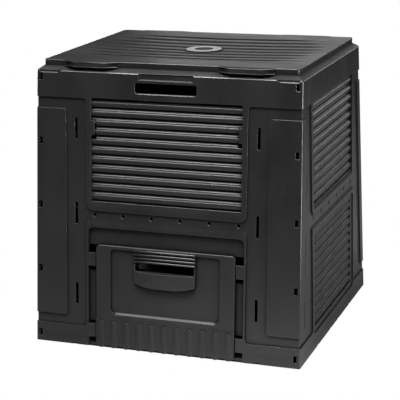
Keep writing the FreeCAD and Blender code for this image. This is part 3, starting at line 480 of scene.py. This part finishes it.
# %% Lay a round bar on each rib
FOOT_FRONT, BIN_LEAN = 379.0, 66.0 / 780.0
RIB_HEIGHTS = (258.0, 268.0, 278.0, 288.0)
RIB_RADIUS, RIB_LENGTH, RIB_SOFTNESS = 3.0 * MM, 181.0 * MM, 1.2 * MM
RIB_AHEAD = 3.3 * MM
lying = Matrix.Rotation(math.pi / 2, 3, "Y")
bars = bmesh.new()
for height in RIB_HEIGHTS:
    cone = bmesh.ops.create_cone(bars, cap_ends=True, segments=24, radius1=RIB_RADIUS,
                                 radius2=RIB_RADIUS, depth=RIB_LENGTH)
    made = cone["verts"]
    ends = [e for e in bars.edges
            if e.verts[0] in made and abs(e.verts[0].co.z - e.verts[1].co.z) < MM]
    bmesh.ops.bevel(bars, geom=ends, offset=RIB_SOFTNESS, affect="EDGES", segments=3,
                    profile=0.5, material=-1)
    # only the new bar is still at the middle, the others already lie at the front
    bar = [v for v in bars.verts if abs(v.co.y) < 2 * RIB_RADIUS]
    bmesh.ops.rotate(bars, verts=bar, cent=(0, 0, 0), matrix=lying)
    front = -(FOOT_FRONT - BIN_LEAN * height) * MM
    bmesh.ops.translate(bars, verts=bar, vec=(0.0, front - RIB_AHEAD, height * MM))
ribs_mesh = bpy.data.meshes.new("grip_ribs")
bars.to_mesh(ribs_mesh)
bars.free()
grip_ribs = new_piece("grip_ribs", ribs_mesh, grip_plastic, smooth=True)
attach(grip_ribs, "hatch")
print("round ribs made:", len(RIB_HEIGHTS))

# %% [markdown]
# ## Rims of the lid's grips
# Each of the four finger grips of the lid has a rounded rim along its top and another along
# its lip, which hands keep smooth and which draw two bright lines in the picture. Each rim
# runs round a trapezium, so a curve with a round section is the quickest way to lay it. The
# curve is then turned into a mesh like the other pieces.

# %% Lay the rims round the grips
GRIP_PLACE, GRIP_FRONT, GRIP_BACK = 226 * MM, 311 * MM, 297 * MM
FRONT_HALF, BACK_HALF = 45 * MM, 78 * MM
RIM_RADIUS, RIM_INSET = 1.4 * MM, 0.7 * MM
# how far out each rim lies, and its height at the front and at the back of the grip
RIMS = ((0.0, 804.3 * MM, 805.5 * MM), (0.8 * MM, 791.9 * MM, 791.9 * MM))
rims = bpy.data.curves.new("grip rims", "CURVE")
rims.dimensions = "3D"
rims.bevel_depth = RIM_RADIUS
rims.bevel_resolution = 4
rims.use_fill_caps = True
for side in (-1, 1):
    for middle in (-GRIP_PLACE, GRIP_PLACE):
        for out, front_height, back_height in RIMS:
            front, back = side * (GRIP_FRONT + out - RIM_INSET), side * (GRIP_BACK + out)
            corners = (
                (middle - BACK_HALF, back, back_height),
                (middle - FRONT_HALF, front, front_height),
                (middle + FRONT_HALF, front, front_height),
                (middle + BACK_HALF, back, back_height),
            )
            path = rims.splines.new("POLY")
            path.points.add(len(corners) - 1)
            for point, corner in zip(path.points, corners):
                point.co = (*corner, 1)
drawn = bpy.data.objects.new("grip rims", rims)
rims_mesh = bpy.data.meshes.new_from_object(drawn)
bpy.data.objects.remove(drawn)
rims_mesh.materials.clear()
lid_rims = new_piece("lid_grip_rims", rims_mesh, grip_plastic, smooth=True)
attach(lid_rims, "lid")
print("rims laid:", len(rims.splines), "with", len(rims_mesh.polygons), "faces")

# %% [markdown]
# ## Floor and light
# The bin stands on a white floor in front of a white wall, as on a product picture. Both are
# white only where the camera looks at them directly. For every other ray the floor is a mid
# grey and the sky a dim grey, so the plastic keeps its dark tone. The bin has no bottom, so
# the floor has a low bed of dark soil inside the walls, which the compost would lie on. Around
# a spot before the right corner the grey is paler: a painted pool of light. The skirt of the
# hatch and the foot of the walls mirror it, which makes them lighter than the rest.

# %% Make the floor and the bed of soil
FLOOR_HALF = 9
BED_PLACE, BED_SIZE = (0, 0.018, 0.006), (0.744, 0.698, 0.012)
ground = bmesh.new()
bmesh.ops.create_grid(ground, x_segments=1, y_segments=1, size=FLOOR_HALF)
bed = Matrix.Translation(BED_PLACE) @ Matrix.Diagonal((*BED_SIZE, 1))
bmesh.ops.create_cube(ground, size=1, matrix=bed)
floor_mesh = bpy.data.meshes.new("floor")
ground.to_mesh(floor_mesh)
ground.free()
floor_material = bpy.data.materials.new("white studio floor")
floor_material.use_nodes = True
floor = new_piece("floor", floor_mesh, floor_material, smooth=False)
print("floor made,", 2 * FLOOR_HALF, "m wide")

# %% Colour the floor: soil inside the walls, a painted pool of light at the right, grey elsewhere
INSIDE_HALVES = (("X", 0.3935), ("Y", 0.3775))
SOIL, PAINTED_LIGHT_GREY, FLOOR_GREY = (0.012, 0.010, 0.008), (0.42, 0.42, 0.42), (0.16, 0.16, 0.16)
FLOOR_ROUGHNESS = 0.9
POOL_PLACE, POOL_FULL, POOL_END = (0.35, -0.65, 0.0), 0.15, 0.75
tree = floor_material.node_tree
matt = tree.nodes["Principled BSDF"]
matt.inputs["Roughness"].default_value = FLOOR_ROUGHNESS
place = tree.nodes.new("ShaderNodeTexCoord").outputs["Object"]
beyond = []
for axis, half in INSIDE_HALVES:
    distance = calculate(tree, "ABSOLUTE", along(tree, place, axis))
    beyond.append(calculate(tree, "GREATER_THAN", distance, half))
outside = calculate(tree, "MAXIMUM", *beyond)
away = tree.nodes.new("ShaderNodeVectorMath")
away.operation = "DISTANCE"
feed(tree, away.inputs[0], place)
feed(tree, away.inputs[1], POOL_PLACE)
# a painted pool of light, paler near a spot before the right corner and fading out
faded = remap(tree, away.outputs["Value"], POOL_FULL, POOL_END, kind="SMOOTHSTEP")
paper = mixed(tree, faded, PAINTED_LIGHT_GREY, FLOOR_GREY)
feed(tree, matt.inputs["Base Color"], mixed(tree, outside, SOIL, paper))
print("floor coloured, with", len(tree.nodes), "nodes")


# %% A function that shows the camera one shader in place of another
def shown(tree, amount, lit, drawn, output):
    node = tree.nodes.new("ShaderNodeMixShader")
    for socket, result in zip(node.inputs, (amount, lit.outputs[0], drawn.outputs[0])):
        tree.links.new(result, socket)
    tree.links.new(node.outputs[0], tree.nodes[output].inputs["Surface"])


# %% Draw the floor white for the camera, outside the walls
WHITE = (1.0, 1.0, 1.0, 1.0)
white = tree.nodes.new("ShaderNodeEmission")
white.inputs["Color"].default_value = WHITE
white.inputs["Strength"].default_value = 1.0
camera_ray = tree.nodes.new("ShaderNodeLightPath").outputs["Is Camera Ray"]
shown(tree, calculate(tree, "MULTIPLY", outside, camera_ray), matt, white, "Material Output")
print("floor white for the camera")

# %% Set the sky
SKY_STRENGTH = 0.05
scene = bpy.context.scene
scene.world = bpy.data.worlds.new("studio")
scene.world.use_nodes = True
sky = scene.world.node_tree
dim = sky.nodes["Background"]
backdrop = sky.nodes.new("ShaderNodeBackground")
for background, strength in ((dim, SKY_STRENGTH), (backdrop, 1.0)):
    background.inputs["Color"].default_value = WHITE
    background.inputs["Strength"].default_value = strength
camera_ray = sky.nodes.new("ShaderNodeLightPath").outputs["Is Camera Ray"]
shown(sky, camera_ray, dim, backdrop, "World Output")
print("sky strength for light", SKY_STRENGTH)

# %% [markdown]
# Black plastic shows its shape by what it mirrors, so five soft boxes stand around it. The one
# above draws the bright lines on the slats of the front and lights the walls. The one behind is
# mirrored by the lid, and the one far right by the slats of the right wall. The ones at the
# right and at the back left stand below the lid, so they light the walls and not the lid.

# %% Hang soft boxes
# name, place, what it points at, width and height in metres, and power in watts
SOFT_BOXES = (
    ("box above", (-0.2, -1.15, 3.1), (0, -0.1, 0.5), 2.4, 1.2, 300),
    ("box behind", (0.3, 3.4, 1.5), (0, 0, 0.8), 3.8, 1.1, 8),
    ("box at the right", (3.2, -0.9, 0.45), (0.3, 0, 0.4), 1.0, 0.7, 85),
    ("box far right", (1.7, 3.0, 1.15), (0.3, 0, 0.5), 1.5, 0.5, 9),
    ("box at the back left", (-2.6, 2.8, 0.45), (0, 0, 0.4), 2.4, 0.7, 180),
)
for name, stand, aim, width, height, power in SOFT_BOXES:
    light = bpy.data.lights.new(name, "AREA")
    light.shape = "RECTANGLE"
    light.size = width
    light.size_y = height
    light.energy = power
    lamp = bpy.data.objects.new(name, light)
    lamp.location = stand
    lamp.rotation_euler = (Vector(aim) - Vector(stand)).to_track_quat("-Z", "Y").to_euler()
    scene.collection.objects.link(lamp)
    print(name, "shines with", power, "W")

# %% [markdown]
# ## Camera
# The picture was taken from a little above and to the right of the hatch, with a long lens.
# Its place and angles come from matching the corners, bands and louvres of the bin.

# %% Place the camera
YAW, PITCH, ROLL = math.radians(19.936), math.radians(15.063), math.radians(-1.0777)
CAMERA_PLACE = (1.34851, -3.77598, 1.42828)
SENSOR_WIDTH, FOCAL_LENGTH = 36.0, 125.05
right = Vector((math.cos(YAW), math.sin(YAW), 0.0))
forward = Vector((
    -math.sin(YAW) * math.cos(PITCH), math.cos(YAW) * math.cos(PITCH), -math.sin(PITCH)))
up = right.cross(forward)
tilted_right = right * math.cos(ROLL) + up * math.sin(ROLL)
tilted_up = up * math.cos(ROLL) - right * math.sin(ROLL)
camera_data = bpy.data.cameras.new("camera")
camera_data.sensor_width = SENSOR_WIDTH
camera_data.lens = FOCAL_LENGTH
camera = bpy.data.objects.new("camera", camera_data)
turn = Matrix((tilted_right, tilted_up, -forward)).transposed().to_4x4()
camera.matrix_world = Matrix.Translation(CAMERA_PLACE) @ turn
scene.collection.objects.link(camera)
scene.camera = camera
scene.view_settings.view_transform = "Standard"
print("camera at", [round(v, 3) for v in camera.location])
